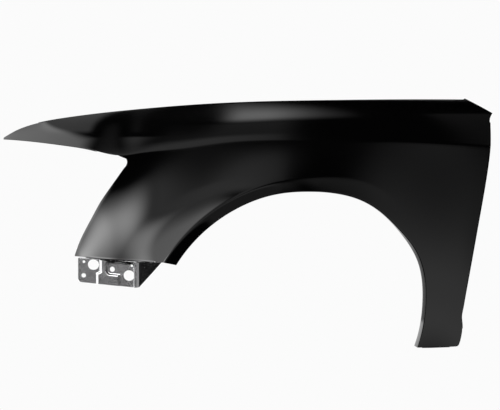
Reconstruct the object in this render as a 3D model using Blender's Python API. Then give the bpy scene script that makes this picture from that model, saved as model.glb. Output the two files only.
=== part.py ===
"""Left front fender of a mid-size car: one pressed steel panel and its welded bumper bracket.

Design frame, in metres: +X runs rearward along the car, +Y inboard, +Z up. X = Z = 0 is the centre of the
wheel-arch circle and Y = 0 is the widest point of the body side. The finished pieces hang from one empty that
moves the underside of the middle bolt pad of the bonnet-side ledge to the origin.
"""
import math

import bmesh
import bpy
import numpy as np
from mathutils import Matrix, Vector

# Sheet metal
SHEET = 0.0008
BRACKET_SHEET = 0.0015
WELD_GAP = 0.0003
WELD_DISTANCE = 0.00001

# Plan line of the body side along the shoulder crease: length position, depth inboard
PLAN_LINE = ((-0.890, 0.2857), (-0.665, 0.1057), (-0.500, 0.0610), (-0.300, 0.0325),
             (-0.100, 0.0082), (0.060, -0.0002), (0.280, 0.0001), (0.480, 0.0274))

# Shoulder crease, which runs on forwards as the edge over the headlamp: length position, height
CREASE_LINE = ((-0.8885, 0.4464), (-0.802, 0.4367), (-0.676, 0.4187), (-0.615, 0.4078), (-0.557, 0.3926),
               (-0.530, 0.3908), (-0.474, 0.3970), (-0.363, 0.4090), (-0.254, 0.4216), (-0.092, 0.4290),
               (0.068, 0.4288), (0.230, 0.4265), (0.392, 0.4187), (0.475, 0.4135))
CREASE_SOFTNESS = 0.002

# Edge beside the bonnet: length position, height
BONNET_LINE = ((-0.8885, 0.4490), (-0.842, 0.4686), (-0.800, 0.4814), (-0.684, 0.5009), (-0.509, 0.5197),
               (-0.283, 0.5359), (-0.006, 0.5428), (0.424, 0.5473))

# Inboard run of the shoulder from the crease to the bonnet edge
SHOULDER_RUN = ((-0.8885, 0.0024), (-0.842, 0.0085), (-0.800, 0.0203), (-0.684, 0.0593), (-0.509, 0.0894),
                (-0.283, 0.0978), (-0.006, 0.0982), (0.240, 0.1030), (0.480, 0.1084))
LEAST_HEIGHT = 0.002

# Section of the shoulder: length position, share of the run that is straight and share that is cubic
SHOULDER_START = ((-0.850, 0.648), (-0.650, 0.727), (-0.450, 0.295), (-0.250, 0.026), (0.050, 0.100),
                  (0.450, 0.179))
SHOULDER_CUBE = ((-0.850, -0.733), (-0.650, 0.363), (-0.450, 0.054), (-0.250, -0.353), (0.050, -0.028),
                 (0.450, 0.441))

# Body side below the crease: length position, slope at the crease, curvature and its change down the panel
SIDE_SLOPE = ((-0.660, -0.0363), (-0.560, 0.2236), (-0.450, 0.0926), (-0.300, 0.0063), (-0.100, 0.0271),
              (0.100, 0.0009), (0.300, 0.0260), (0.480, 0.0105))
SIDE_CURVE = ((-0.660, 1.093), (-0.560, -1.282), (-0.450, -0.984), (-0.300, -0.089), (-0.100, -0.813),
              (0.100, -0.081), (0.300, -0.128), (0.480, 0.017))
SIDE_CUBE = ((-0.660, -2.694), (-0.560, 0.993), (-0.450, 1.531), (-0.300, -0.725), (-0.100, 0.919),
             (0.100, 0.132), (0.300, 0.275), (0.480, -0.022))

# Wheel arch: base radius, how far the front half is drawn out, the step outwards where the rear leg's flange
# starts to lean, and small departures from that as angle ahead of the top, added radius
ARCH_RADIUS = 0.2945
ARCH_DRAW = 0.0546
ARCH_DRAW_POWER = 1.79
ARCH_STEP = 0.0057
ARCH_LEAN_START = math.radians(42)
ARCH_LEAN_END = math.radians(68)
ARCH_TRIM = ((math.radians(-115), 0.0083), (math.radians(-90), 0.0012), (math.radians(-70), 0.0052),
             (math.radians(-52), 0.0012), (math.radians(-36), 0.0026), (math.radians(-24), 0.0023),
             (math.radians(-10), -0.0016), (math.radians(3), -0.0020),
             (math.radians(22), 0.0), (math.radians(40), -0.0013), (math.radians(76), -0.0012))
ARCH_FRONT = math.radians(76.1)
ARCH_REAR = math.radians(-115)

# Lip band inside the arch ridge: angle ahead of the top, width; and angle ahead of the top, fold angle
LIP_WIDTH = ((math.radians(-115), 0.0427), (math.radians(-20), 0.0477), (math.radians(0), 0.0387),
             (math.radians(35), 0.0287), (math.radians(76), 0.0327))
LIP_FOLD = ((math.radians(-115), 0.0), (math.radians(-60), 0.0), (math.radians(-20), math.radians(1.9)),
            (math.radians(5), math.radians(10.5)), (math.radians(35), math.radians(33.9)),
            (math.radians(76), math.radians(49.5)))
LIP_ROUNDING = 0.004

# Flare that stands out along the front of the arch ridge
FLARE_HEIGHT = 0.0295
FLARE_WIDTH = 0.1188
FLARE_NARROW = 0.25
FLARE_FALL = 2.16
FLARE_FRONT = math.radians(76.3)
FLARE_REAR = math.radians(15.2)

# Side-view corners are (length position, height); the bumper and door edges are (height, length position)
FRONT_EDGE = ((0.1105, -0.6605), (0.1586, -0.6407), (0.2255, -0.6038), (0.2918, -0.5619), (0.3560, -0.5153))
LAMP_THROAT = (-0.5050, 0.3810)
LAMP_ROUND = 0.011
FRONT_BOTTOM = (-0.6600, 0.1110)
DOOR_EDGE = ((-0.112, 0.3952), (-0.095, 0.3987), (-0.080, 0.4002), (-0.062, 0.3993), (-0.047, 0.3980),
             (-0.027, 0.4011), (0.000, 0.4060), (0.081, 0.4207), (0.210, 0.4442), (0.340, 0.4670),
             (0.404, 0.4752), (0.4925, 0.4794))
LAMP_CORNER = -0.5330
BONNET_PEAK = (0.424, 0.5484)
PEAK_RUN = 0.016
PILLAR_CORNER = (0.4890, 0.5060)
PILLAR_STEP = (0.4785, 0.4925)
FOOT_LEVEL = -0.1300
FOOT_CORNER = (0.3740, -0.1282)
FOOT_HEEL = (0.3900, -0.1275)
FOOT_HEEL_RADIUS = 0.009

# Folded edges
EDGE_BEND = 0.0016
LAMP_FLANGE = 0.012
BUMPER_FLANGE = 0.014
DOOR_FLANGE = 0.015
BOTTOM_FLANGE = 0.015
FOOT_FLANGE = 0.026
ARCH_BEND = 0.0025
ARCH_FLANGE = 0.019
ARCH_LEAN = math.radians(17)
BOLT_TAB = 0.016
BOLT_TAB_FLAT = 0.0135
BOLT_TAB_SPAN = 0.030
DOOR_TABS = (0.440, 0.300, 0.060)

# Gutter beside the bonnet: bends, ledge and its flat bolt pads (length position, height)
GUTTER_BEND = 0.003
LEDGE_BEND = 0.004
LEDGE_WIDTH = 0.027
LEDGE_LINE = ((-0.800, 0.450), (-0.605, 0.486), (-0.535, 0.486), (-0.345, 0.512), (-0.265, 0.512),
              (0.040, 0.520), (0.420, 0.520))
LEDGE_FRONT = -0.775
BOLT_PADS = (-0.570, -0.305, 0.100, 0.340)
LEDGE_BOLT = 0.0045
MOUNT_BESIDE_BOLT = 0.017
DATUM_PAD = -0.305

# Holes in the flanges
TAB_BOLT = 0.0038
TAB_BOLT_REACH = 0.62
LINER_HOLE = 0.0026
LINER_ANGLES = (66, 38, 8, -26, -62, -96)
FOOT_BOLT = 0.0042
BUMPER_HOLE = 0.0030
BUMPER_HOLES = (0.145, 0.225, 0.305)
HOLE_DEPTH = 0.006

# Bumper bracket: along the bottom edge of the skin and down from it
BRACKET_FRONT = -0.6450
BRACKET_REAR = -0.4800
BRACKET_SETBACK = 0.0045
BRACKET_TONGUE = 0.010
BRACKET_BEND = 0.003
BRACKET_DROP_FRONT = 0.0635
BRACKET_DROP_REAR = 0.0705
BRACKET_CORNER = 0.012
BRACKET_HEADER = 0.05
BRACKET_RISE = 0.0045
BRACKET_STEP = 0.004
FRONT_STEP = 0.009
FRONT_STEP_UPPER = 0.062
FRONT_STEP_LOWER = 0.051
FRONT_STEP_JOG = (0.040, 0.046)
HOLLOW_FRONT = 0.086
HOLLOW_LEG = 0.125
HOLLOW_TOP = 0.013
HOLLOW_SHELF = 0.046
HOLLOW_CORNER = 0.013
BRACKET_RIM = 0.010
WALL_LENGTH = 0.066
WALL_TURN = math.radians(47)
WALL_TIP = 0.010

# Bracket holes: distance along the plate, distance down it, radius
BRACKET_HOLES = ((0.043, 0.0195, 0.0150), (0.153, 0.0440, 0.0140), (0.014, 0.012, 0.0042),
                 (0.014, 0.051, 0.0062), (0.1015, 0.032, 0.0062), (0.1605, 0.0205, 0.0036))

# Grid density, crowding of rows and where the flanges stop short of a corner, in columns
FRONT_COLUMNS = 10
LAMP_COLUMNS = 3
CREASE_COLUMNS = 34
PEAK_COLUMNS = 3
DOOR_COLUMNS = 17
DOOR_CROWD = 1.5
HORN_COLUMNS = 13
HORN_CROWD = 1.2
SIDE_ROWS = 8
SIDE_CROWD = 1.1
SHOULDER_ROWS = 7
SHOULDER_CROWD = 1.25
LIP_SHARES = (0, 0.3, 0.6, 0.82, 1.0)
OUTLINE_POINTS = 40
ARC_POINTS = 9
TIP_COLUMNS = 4
THROAT_COLUMNS = 2
HEEL_COLUMNS = 3
BEND_STEPS = 3
BRACKET_COLUMNS = 34
BRACKET_ROWS = 15
WALL_COLUMNS = 5
HOLE_SIDES = 20
SHARP_ANGLE = math.radians(35)

UP = np.array((0.0, 0.0, 1.0))
INBOARD = np.array((0.0, 1.0, 0.0))


# Curves

def spline(knots, at):
    """Natural cubic curve through the knots, carried on straight past both ends."""
    knots = np.asarray(knots, float)
    x, y = knots[:, 0], knots[:, 1]
    gap = np.diff(x)
    rise = np.diff(y) / gap
    count = len(x)
    matrix = np.eye(count)
    target = np.zeros(count)
    for i in range(1, count - 1):
        matrix[i, i - 1:i + 2] = gap[i - 1], 2 * (gap[i - 1] + gap[i]), gap[i]
        target[i] = 6 * (rise[i] - rise[i - 1])
    bend = np.linalg.solve(matrix, target)
    at = np.asarray(at, float)
    i = np.clip(np.searchsorted(x, at) - 1, 0, count - 2)
    step = np.clip(at, x[0], x[-1]) - x[i]
    slope = rise[i] - gap[i] * (2 * bend[i] + bend[i + 1]) / 6
    value = y[i] + slope * step + bend[i] * step ** 2 / 2 + (bend[i + 1] - bend[i]) * step ** 3 / (6 * gap[i])
    end_slope = slope + bend[i] * step + (bend[i + 1] - bend[i]) * step ** 2 / (2 * gap[i])
    return value + end_slope * (at - np.clip(at, x[0], x[-1]))


def ramp(value, low, high):
    """Smooth step from 0 at low to 1 at high."""
    share = np.clip((value - low) / (high - low), 0, 1)
    return share * share * (3 - 2 * share)


def spread(points, count, crowd=1.0):
    """Points spaced along a polyline, evenly or crowded towards its end."""
    points = np.asarray(points, float)
    run = np.concatenate(([0], np.cumsum(np.linalg.norm(np.diff(points, axis=0), axis=1))))
    at = run[-1] * (1 - (1 - np.linspace(0, 1, count)) ** crowd)
    return np.stack([np.interp(at, run, points[:, k]) for k in range(points.shape[1])], axis=1)


def corner_arc(before, corner, after, radius, count):
    """Points of an arc of the given radius that rounds the corner between two straight edges."""
    before, corner, after = (np.asarray(p, float) for p in (before, corner, after))
    a = (before - corner) / np.linalg.norm(before - corner)
    b = (after - corner) / np.linalg.norm(after - corner)
    half = math.acos(float(np.clip(a @ b, -1, 1))) / 2
    setback = radius / math.tan(half)
    centre = corner + (a + b) / np.linalg.norm(a + b) * radius / math.sin(half)
    start = corner + a * setback - centre
    end = corner + b * setback - centre
    sweep = math.pi - 2 * half
    at = np.linspace(0, 1, count)[:, None]
    return centre + (np.sin((1 - at) * sweep) * start + np.sin(at * sweep) * end) / math.sin(sweep)


# The pressed surface

def rear_leg(angle):
    """0 over the top and front of the arch, 1 down its rear leg."""
    return ramp(-angle, ARCH_LEAN_START, ARCH_LEAN_END)


def edge_radius(angle):
    """Distance of the arch edge from the arch centre: a circle, trimmed and drawn out ahead."""
    drawn = ARCH_DRAW * np.maximum(angle, 0) ** ARCH_DRAW_POWER
    return ARCH_RADIUS + drawn + ARCH_STEP * rear_leg(angle) + spline(ARCH_TRIM, angle)


def ridge_radius(angle):
    return edge_radius(angle) + spline(LIP_WIDTH, angle) - ARCH_STEP * rear_leg(angle)


def skin_depth(x, z):
    """Depth inboard of the outer face at a point of the side view.

    The plan line, plus the shoulder curving in above the crease, the side curving below it, the flare outside
    the arch ridge, and the lip folded in between the ridge and the arch edge.
    """
    crease = spline(CREASE_LINE, x)
    height = np.maximum(spline(BONNET_LINE, x) - crease, LEAST_HEIGHT)
    signed = z - crease
    above = (signed + np.hypot(signed, CREASE_SOFTNESS)) / 2
    below = above - signed
    share = above / height
    start = spline(SHOULDER_START, x)
    cube = spline(SHOULDER_CUBE, x)
    shoulder = spline(SHOULDER_RUN, x) * (start * share + (1 - start - cube) * share ** 2 + cube * share ** 3)
    side = (spline(SIDE_SLOPE, x) * below + spline(SIDE_CURVE, x) * below ** 2
            + spline(SIDE_CUBE, x) * below ** 3)
    angle = np.arctan2(-x, z)
    outside = np.hypot(x, z) - ridge_radius(angle)
    swell = ramp(angle, FLARE_REAR, FLARE_FRONT)
    width = FLARE_WIDTH * (FLARE_NARROW + (1 - FLARE_NARROW) * swell)
    flare = FLARE_HEIGHT * swell * np.clip(1 - np.maximum(outside, 0) / width, 0, 1) ** FLARE_FALL
    inside = np.maximum(-outside, 0)
    fold = np.tan(np.maximum(spline(LIP_FOLD, angle), 0))
    lip = fold * (inside - LIP_ROUNDING * (1 - np.exp(-inside / LIP_ROUNDING)))
    return spline(PLAN_LINE, x) + shoulder + side - flare + lip


def on_skin(flat):
    """Side-view points (x, z) laid on the pressed surface."""
    x, z = flat[..., 0], flat[..., 1]
    return np.stack((x, skin_depth(x, z), z), axis=-1)


# Outlines in the side view

def arch_columns():
    """Edge and ridge of the arch as matching rows of side-view points, from the front end to the foot."""
    columns = FRONT_COLUMNS + LAMP_COLUMNS + CREASE_COLUMNS + PEAK_COLUMNS + DOOR_COLUMNS
    share = np.linspace(0, 1, columns + 1)
    rows = []
    for radius in (edge_radius, ridge_radius):
        rear = -math.pi / 2 - math.asin(-FOOT_LEVEL / float(radius(ARCH_REAR)))
        angle = ARCH_FRONT + (rear - ARCH_FRONT) * share
        rows.append(np.stack((-np.sin(angle) * radius(angle), np.cos(angle) * radius(angle)), axis=1))
    return rows


def crease_row():
    """Crease from the lamp corner to the door edge, with one point below the bonnet peak."""
    door = float(spline(DOOR_EDGE, spline(CREASE_LINE, DOOR_EDGE[-2][1])))
    peak = BONNET_PEAK[0] - PEAK_RUN
    x = np.concatenate((np.linspace(LAMP_CORNER, peak, CREASE_COLUMNS + 1),
                        np.linspace(peak, door, PEAK_COLUMNS + 1)[1:]))
    return np.stack((x, spline(CREASE_LINE, x)), axis=1)


def side_outline():
    """Outer boundary below the crease: bumper edge, lamp corner, crease, door edge and foot corner."""
    z = np.linspace(FRONT_EDGE[0][0], FRONT_EDGE[-1][0], OUTLINE_POINTS)
    front = np.stack((spline(FRONT_EDGE, z), z), axis=1)
    front = np.concatenate(([FRONT_BOTTOM], front[1:]))
    crease = crease_row()
    lamp = corner_arc(front[-1], LAMP_THROAT, crease[0], LAMP_ROUND, ARC_POINTS)
    lamp = np.concatenate((front[-1:], lamp, crease[:1]))
    z = np.linspace(crease[-1][1], DOOR_EDGE[0][0], OUTLINE_POINTS)
    door = np.stack((spline(DOOR_EDGE, z), z), axis=1)
    heel = corner_arc(door[-1], FOOT_HEEL, FOOT_CORNER, FOOT_HEEL_RADIUS, ARC_POINTS)
    door = np.concatenate((door, heel, [FOOT_CORNER]))
    door[0] = crease[-1]
    return np.concatenate((spread(front, FRONT_COLUMNS + 1), spread(lamp, LAMP_COLUMNS + 1)[1:],
                           crease[1:], spread(door, DOOR_COLUMNS + 1, DOOR_CROWD)[1:]))


def bonnet_row():
    """Upper boundary over the crease row: bonnet edge, peak, pillar corner and pillar step."""
    x = np.linspace(LAMP_CORNER, BONNET_PEAK[0], CREASE_COLUMNS + 1)
    edge = np.stack((x, spline(BONNET_LINE, x)), axis=1)
    edge[-1] = BONNET_PEAK
    middle = (np.array(BONNET_PEAK) + PILLAR_CORNER) / 2
    return np.concatenate((edge, [middle, PILLAR_CORNER, PILLAR_STEP]))


def between(lower, upper, shares):
    """Grid of side-view points on straight lines from one boundary to the other."""
    shares = np.asarray(shares)[:, None, None]
    return lower[None] * (1 - shares) + upper[None] * shares


def skin_grids():
    """The outer skin in four grids: shoulder, horn over the lamp, side and lip."""
    edge, ridge = arch_columns()
    crease = crease_row()
    rise = np.linspace(0, 1, SHOULDER_ROWS + 1) ** SHOULDER_CROWD
    shoulder = between(crease, bonnet_row(), rise)
    tip = CREASE_LINE[0][0]
    x = tip + (LAMP_CORNER - tip) * np.linspace(0, 1, HORN_COLUMNS + 1) ** HORN_CROWD
    lamp_edge = np.stack((x, spline(CREASE_LINE, x)), axis=1)
    horn = between(lamp_edge, np.stack((x, spline(BONNET_LINE, x)), axis=1), rise)
    side = between(ridge, side_outline(), np.linspace(0, 1, SIDE_ROWS + 1) ** SIDE_CROWD)
    lip = between(edge, ridge, LIP_SHARES)
    return {name: on_skin(grid) for name, grid in
            (("shoulder", shoulder), ("horn", horn), ("side", side), ("lip", lip))}


# Folded edges

def unit(vectors):
    return vectors / np.linalg.norm(vectors, axis=-1, keepdims=True)


def edge_frame(edge, inner):
    """Directions at each point of a skin edge: along the skin out of the edge, and the outward normal."""
    along = unit(np.gradient(edge, axis=0))
    leaving = edge - inner
    out = unit(leaving - np.sum(leaving * along, axis=1, keepdims=True) * along)
    normal = unit(np.cross(along, out))
    return out, normal * np.where(normal[:, 1:2] > 0, -1, 1)


def folded(edge, start, end, bend, width):
    """Rows of a folded edge: an arc of radius bend from direction start to end, then a flat of some width."""
    cosine = np.clip(np.sum(start * end, axis=1, keepdims=True), -1, 1)
    turn = np.arccos(cosine)
    across = unit(end - cosine * start)
    rows = [edge]
    for step in range(1, BEND_STEPS + 1):
        angle = turn * step / BEND_STEPS
        rows.append(edge + bend * (np.sin(angle) * start + (1 - np.cos(angle)) * across))
    width = np.broadcast_to(width, len(edge))[:, None]
    rows.append(rows[-1] + end * width)
    return np.array(rows)


def plain_flange(edge, inner, width):
    """Flange turned square in from the skin."""
    out, normal = edge_frame(edge, inner)
    return folded(edge, out, -normal, EDGE_BEND, width)


def level_flange(edge, inner, width):
    """Flange turned in level."""
    out, _ = edge_frame(edge, inner)
    return folded(edge, out, level_inboard(edge), EDGE_BEND, width)


def level_inboard(edge):
    """Level direction square to an edge, pointing inboard."""
    along = np.gradient(edge, axis=0) * (1, 1, 0)
    across = unit(np.cross(along, UP))
    return across * np.where(across[:, 1:2] < 0, -1, 1)


def gutter_grids(edge, inner):
    """Bonnet-side gutter: the edge turned down, then in to a ledge whose bolt pads are flat."""
    out, _ = edge_frame(edge, inner)
    down = np.broadcast_to(-UP, edge.shape)
    ledge = np.interp(edge[:, 0], *np.transpose(LEDGE_LINE))
    wall = folded(edge, out, down, GUTTER_BEND, 0.0)[:-1]
    wall_end = wall[-1].copy()
    wall_end[:, 2] = ledge + LEDGE_BEND
    wall = np.concatenate((wall, [wall_end]))
    return wall, folded(wall_end, down, level_inboard(edge), LEDGE_BEND, LEDGE_WIDTH - LEDGE_BEND)


def arch_flange(edge, inner):
    """Flange inside the arch: inboard, leaning towards the arch centre down the rear leg."""
    out, _ = edge_frame(edge, inner)
    centre = unit(-edge * (1, 0, 1))
    lean = ARCH_LEAN * rear_leg(np.arctan2(-edge[:, 0], edge[:, 2]))[:, None]
    return folded(edge, out, INBOARD * np.cos(lean) + centre * np.sin(lean), ARCH_BEND, ARCH_FLANGE)


def tab_width(height):
    """Door-edge flange, widened round each hinge-pillar bolt."""
    width = np.full(len(height), DOOR_FLANGE)
    for centre in DOOR_TABS:
        width += BOLT_TAB * (1 - ramp(np.abs(height - centre), BOLT_TAB_FLAT, BOLT_TAB_SPAN))
    return width


def panel_grids():
    """Every grid of the panel by name: skin and folded edges."""
    grids = skin_grids()
    side, shoulder, horn, lip = grids["side"], grids["shoulder"], grids["horn"], grids["lip"]
    crease_end = FRONT_COLUMNS + LAMP_COLUMNS + CREASE_COLUMNS + PEAK_COLUMNS
    front = slice(1, FRONT_COLUMNS + 1)
    grids["bumper_flange"] = plain_flange(side[-1, front], side[-2, front], BUMPER_FLANGE)
    pillar, pillar_inner = shoulder[:-1, -1][::-1], shoulder[:-1, -2][::-1]
    door = np.concatenate((pillar, side[-1, crease_end + 1:-1 - HEEL_COLUMNS]))
    door_inner = np.concatenate((pillar_inner, side[-2, crease_end + 1:-1 - HEEL_COLUMNS]))
    grids["door_flange"] = plain_flange(door, door_inner, tab_width(door[:, 2]))
    lamp = slice(TIP_COLUMNS, -THROAT_COLUMNS)
    grids["lamp_flange"] = level_flange(horn[0, lamp], horn[1, lamp], LAMP_FLANGE)
    foot = np.concatenate((lip[1:, -1], side[1:-1, -1]))
    foot_inner = np.concatenate((lip[1:, -2], side[1:-1, -2]))
    grids["foot_flange"] = plain_flange(foot, foot_inner, FOOT_FLANGE)
    grids["bottom_flange"] = bottom_flange(side)
    bonnet = np.concatenate((horn[-1], shoulder[-1, 1:CREASE_COLUMNS]))
    bonnet_inner = np.concatenate((horn[-2], shoulder[-2, 1:CREASE_COLUMNS]))
    kept = bonnet[:, 0] > LEDGE_FRONT
    grids["gutter_wall"], grids["ledge"] = gutter_grids(bonnet[kept], bonnet_inner[kept])
    grids["arch_flange"] = arch_flange(lip[0], lip[1])
    return grids


def bottom_edge(side):
    """Lower front edge of the skin from the bumper edge back, and the row above it."""
    return side[1:-1, 0][::-1], side[1:-1, 1][::-1]


def bottom_flange(side):
    """Level flange under the lower front edge, to which the bracket is welded."""
    edge, inner = bottom_edge(side)
    return level_flange(edge, inner, BOTTOM_FLANGE)


# Bumper bracket

def rounded_box(across, down, box, corner):
    """Signed distance to a rectangle (left, right, top, bottom) with rounded corners, negative inside."""
    left, right, top, bottom = box
    side = np.abs(across - (left + right) / 2) - (right - left) / 2 + corner
    end = np.abs(down - (top + bottom) / 2) - (bottom - top) / 2 + corner
    outer = np.hypot(np.maximum(side, 0), np.maximum(end, 0))
    return outer + np.minimum(np.maximum(side, end), 0) - corner


def bracket_raise(along, down, length):
    """Height of the pressed face: the field behind the front step is raised round an L-shaped hollow."""
    jog = ramp(down, *FRONT_STEP_JOG)
    step = FRONT_STEP_UPPER + (FRONT_STEP_LOWER - FRONT_STEP_UPPER) * jog
    field = ramp(along, step, step + FRONT_STEP)
    rim = length - BRACKET_RIM
    shelf = rounded_box(along, down, (HOLLOW_FRONT, rim, HOLLOW_TOP, HOLLOW_SHELF), HOLLOW_CORNER)
    leg = rounded_box(along, down, (HOLLOW_LEG, rim, HOLLOW_TOP, 2 * BRACKET_DROP_REAR), HOLLOW_CORNER)
    hollow = 1 - ramp(np.minimum(shelf, leg), -BRACKET_STEP / 2, BRACKET_STEP / 2)
    return BRACKET_RISE * (field - hollow)


def bracket_grids(side):
    """Bracket plate under the lower front edge, its welded tongue on top and its rear side wall."""
    edge, _ = bottom_edge(side)
    x = np.linspace(BRACKET_FRONT, BRACKET_REAR, BRACKET_COLUMNS + 1)
    top = np.stack((x, np.interp(x, edge[:, 0], edge[:, 1]), np.interp(x, edge[:, 0], edge[:, 2])), axis=1)
    inward = level_inboard(top)
    seat = EDGE_BEND + SHEET + WELD_GAP
    top = top + inward * BRACKET_SETBACK - UP * seat
    along = np.concatenate(([0], np.cumsum(np.linalg.norm(np.diff(top, axis=0), axis=1))))
    length = along[-1]
    down = np.linspace(0, 1, BRACKET_ROWS + 1)
    from_corner = np.maximum(BRACKET_CORNER - along, 0)
    drop = BRACKET_DROP_FRONT + (BRACKET_DROP_REAR - BRACKET_DROP_FRONT) * along / length
    drop = drop - BRACKET_CORNER + np.sqrt(BRACKET_CORNER ** 2 - from_corner ** 2)
    start = top - UP * BRACKET_BEND
    depth = down[:, None] * (drop - BRACKET_BEND)[None]
    rise = bracket_raise(along[None], depth, length) * ramp(down, 0, BRACKET_HEADER)[:, None]
    plate = start[None] - UP * depth[..., None] - inward[None] * rise[..., None]
    tongue = folded(start, np.broadcast_to(UP, start.shape), inward, BRACKET_BEND, BRACKET_TONGUE)
    heading = unit(plate[0, -1] - plate[0, -2])
    turned = np.array((heading[0] * math.cos(WALL_TURN) - heading[1] * math.sin(WALL_TURN),
                       heading[0] * math.sin(WALL_TURN) + heading[1] * math.cos(WALL_TURN), 0))
    share = np.linspace(0, 1, WALL_COLUMNS + 1)[:, None, None]
    heights = plate[:, -1]
    fall = heights[0, 2] - heights[:, 2]
    narrowed = heights[None] + turned * WALL_LENGTH * share
    scale = 1 - share[..., 0] * (1 - WALL_TIP / fall[-1])
    narrowed[..., 2] = heights[0, 2] - fall[None] * scale
    return {"plate": plate, "tongue": tongue, "wall": np.swapaxes(narrowed, 0, 1)}


# Holes

def flat_point(rows, stations, at, share=0.5):
    """Point on the flat of a folded edge at a station along it, and the direction square to the sheet."""
    middle = rows[-2] * (1 - share) + rows[-1] * share
    order = np.argsort(stations)
    point = np.array([np.interp(at, stations[order], middle[order, k]) for k in range(3)])
    near = int(np.clip(np.argmin(np.abs(stations - at)), 1, len(stations) - 2))
    square = np.cross(middle[near + 1] - middle[near - 1], rows[-1][near] - rows[-2][near])
    return point, unit(square)


def panel_holes(grids):
    """Bolt, clip and drain holes of the panel as (point, direction, radius)."""
    holes = []
    ledge = grids["ledge"]
    for x in BOLT_PADS:
        holes.append((*flat_point(ledge, ledge[-1][:, 0], x), LEDGE_BOLT))
    arch = grids["arch_flange"]
    angles = np.degrees(np.arctan2(-arch[-1][:, 0], arch[-1][:, 2]))
    for angle in LINER_ANGLES:
        holes.append((*flat_point(arch, angles, angle), LINER_HOLE))
    door = grids["door_flange"]
    for z in DOOR_TABS:
        holes.append((*flat_point(door, door[-1][:, 2], z, TAB_BOLT_REACH), TAB_BOLT))
    bumper = grids["bumper_flange"]
    for z in BUMPER_HOLES:
        holes.append((*flat_point(bumper, bumper[-1][:, 2], z), BUMPER_HOLE))
    foot = grids["foot_flange"]
    holes.append((*flat_point(foot, foot[-1][:, 0], (ARCH_RADIUS + FOOT_CORNER[0]) / 2), FOOT_BOLT))
    return holes


def bracket_holes(plate):
    """Holes of the bracket plate, placed by their distances along it and down it."""
    along = np.concatenate(([0], np.cumsum(np.linalg.norm(np.diff(plate[0], axis=0), axis=1))))
    down = plate[0, 0, 2] - plate[:, 0, 2]
    holes = []
    for across, drop, radius in BRACKET_HOLES:
        column = int(np.clip(np.argmin(np.abs(along - across)), 1, BRACKET_COLUMNS - 1))
        top = np.array([np.interp(across, along, plate[0, :, k]) for k in range(3)])
        square = unit(np.cross(plate[0, column + 1] - plate[0, column - 1], UP))
        holes.append((top - UP * drop, square, radius))
    return holes


# Meshes

def sheet_object(name, grids, thickness, colour, roughness, metallic):
    """One welded sheet from grids that share their edges, thickened on its inboard side."""
    bm = bmesh.new()
    for grid in grids:
        rows, columns = grid.shape[:2]
        verts = [bm.verts.new(tuple(p)) for p in grid.reshape(-1, 3)]
        for r in range(rows - 1):
            for c in range(columns - 1):
                a = r * columns + c
                bm.faces.new((verts[a], verts[a + 1], verts[a + columns + 1], verts[a + columns]))
    bmesh.ops.remove_doubles(bm, verts=bm.verts, dist=WELD_DISTANCE)
    bmesh.ops.recalc_face_normals(bm, faces=bm.faces)
    if sum(face.normal.y * face.calc_area() for face in bm.faces) > 0:
        bmesh.ops.reverse_faces(bm, faces=bm.faces)
    mesh = bpy.data.meshes.new(name)
    bm.to_mesh(mesh)
    bm.free()
    mesh.shade_smooth()
    mesh.set_sharp_from_angle(angle=SHARP_ANGLE)
    mesh.materials.append(finish(name, colour, roughness, metallic))
    obj = bpy.data.objects.new(name, mesh)
    bpy.context.scene.collection.objects.link(obj)
    solid = obj.modifiers.new("Sheet", "SOLIDIFY")
    solid.thickness = thickness
    solid.offset = -1
    solid.use_even_offset = True
    return obj


def finish(name, colour, roughness, metallic):
    material = bpy.data.materials.new(name)
    material.use_nodes = True
    shader = material.node_tree.nodes["Principled BSDF"]
    shader.inputs["Base Color"].default_value = (*colour, 1)
    shader.inputs["Roughness"].default_value = roughness
    shader.inputs["Metallic"].default_value = metallic
    return material


def drill(obj, holes):
    """Cut round holes square through the sheet with one cutter object."""
    bm = bmesh.new()
    for point, direction, radius in holes:
        turn = Vector(direction).to_track_quat("Z", "Y").to_matrix().to_4x4()
        bmesh.ops.create_cone(bm, cap_ends=True, segments=HOLE_SIDES, radius1=radius, radius2=radius,
                              depth=2 * HOLE_DEPTH, matrix=Matrix.Translation(point) @ turn)
    mesh = bpy.data.meshes.new(obj.name + "_drills")
    bm.to_mesh(mesh)
    bm.free()
    cutter = bpy.data.objects.new(mesh.name, mesh)
    bpy.context.scene.collection.objects.link(cutter)
    cutter.hide_render = True
    cutter.display_type = "WIRE"
    cut = obj.modifiers.new("Holes", "BOOLEAN")
    cut.operation = "DIFFERENCE"
    cut.object = cutter
    return cutter


def datum(ledge):
    """Underside of the ledge beside the middle bolt, where the panel rests on the wing rail."""
    point, _ = flat_point(ledge, ledge[-1][:, 0], DATUM_PAD + MOUNT_BESIDE_BOLT)
    return point - UP * SHEET


def main():
    for obj in list(bpy.data.objects):
        bpy.data.objects.remove(obj)
    grids = panel_grids()
    bracket = bracket_grids(grids["side"])
    pieces = [sheet_object("fender_panel", grids.values(), SHEET, (0.010, 0.010, 0.011), 0.30, 0.0),
              sheet_object("bumper_bracket", bracket.values(), BRACKET_SHEET, (0.42, 0.42, 0.43), 0.40, 1.0)]
    pieces.append(drill(pieces[0], panel_holes(grids)))
    pieces.append(drill(pieces[1], bracket_holes(bracket["plate"])))
    rail = bpy.data.objects.new("rail_datum", None)
    bpy.context.scene.collection.objects.link(rail)
    rail.location = -Vector(datum(grids["ledge"]))
    for obj in pieces:
        obj.parent = rail


main()
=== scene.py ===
import math

import bmesh
import bpy
import numpy as np
from mathutils import Matrix, Vector


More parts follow.
